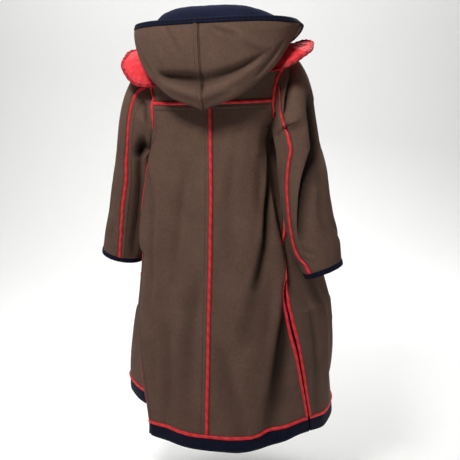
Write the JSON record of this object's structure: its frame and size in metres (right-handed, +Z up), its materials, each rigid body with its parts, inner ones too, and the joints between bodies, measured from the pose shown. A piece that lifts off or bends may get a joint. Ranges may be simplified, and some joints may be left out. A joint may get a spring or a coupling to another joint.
{
  "type": "duffle coat",
  "caption": "long brown melton duffle coat in its worn pose: hood down, red satin shoulder flaps, red piping along the seams, navy hem band, bindings and lining, horn toggles",
  "frame": {"origin": "base of the neck, midway between the shoulders, where the coat is held up", "axes": "+Z up along the coat's length, the front faces -Y, the coat's own left is +X"},
  "size_m": [0.7681, 0.5725, 1.2093],
  "materials": {
    "melton_wool": "dark brown fulled wool with a short nap",
    "red_piping": "bright red woven piping",
    "red_satin": "bright red satin with a soft gloss",
    "navy_trim": "dark navy woven binding",
    "navy_lining": "navy fleece with a soft nap",
    "toggle_horn": "polished brown horn"
  },
  "bodies": {
    "root": {"back_left": "melton_wool", "back_right": "melton_wool", "back_yoke": "melton_wool", "cuff_binding_left": "navy_trim", "cuff_binding_right": "navy_trim", "front_left": "melton_wool", "front_right": "melton_wool", "front_shoulder_left": "melton_wool", "front_shoulder_right": "melton_wool", "front_skirt_left": "melton_wool", "front_skirt_right": "melton_wool", "hem_band_back": "navy_trim", "hem_band_front_left": "navy_trim", "hem_band_front_right": "navy_trim", "hood_binding": "navy_trim", "hood_left": "melton_wool", "hood_lining": "navy_lining", "hood_right": "melton_wool", "loop_1": "navy_trim", "loop_2": "navy_trim", "loop_3": "navy_trim", "piping_armhole_left": "red_piping", "piping_armhole_right": "red_piping", "piping_centre_back": "red_piping", "piping_hem_back": "red_piping", "piping_hem_front_left": "red_piping", "piping_hem_front_right": "red_piping", "piping_side_left": "red_piping", "piping_side_right": "red_piping", "piping_sleeve_left": "red_piping", "piping_sleeve_right": "red_piping", "piping_vent_left": "red_piping", "piping_vent_right": "red_piping", "piping_yoke": "red_piping", "shoulder_flap_left": "red_satin", "shoulder_flap_right": "red_satin", "sleeve_top_left": "melton_wool", "sleeve_top_low_left": "melton_wool", "sleeve_top_low_right": "melton_wool", "sleeve_top_right": "melton_wool", "sleeve_under_left": "melton_wool", "sleeve_under_right": "melton_wool", "toggle_1": "toggle_horn", "toggle_2": "toggle_horn", "toggle_3": "toggle_horn", "vent_underlap_right": "navy_trim"}
  },
  "joints": []
}
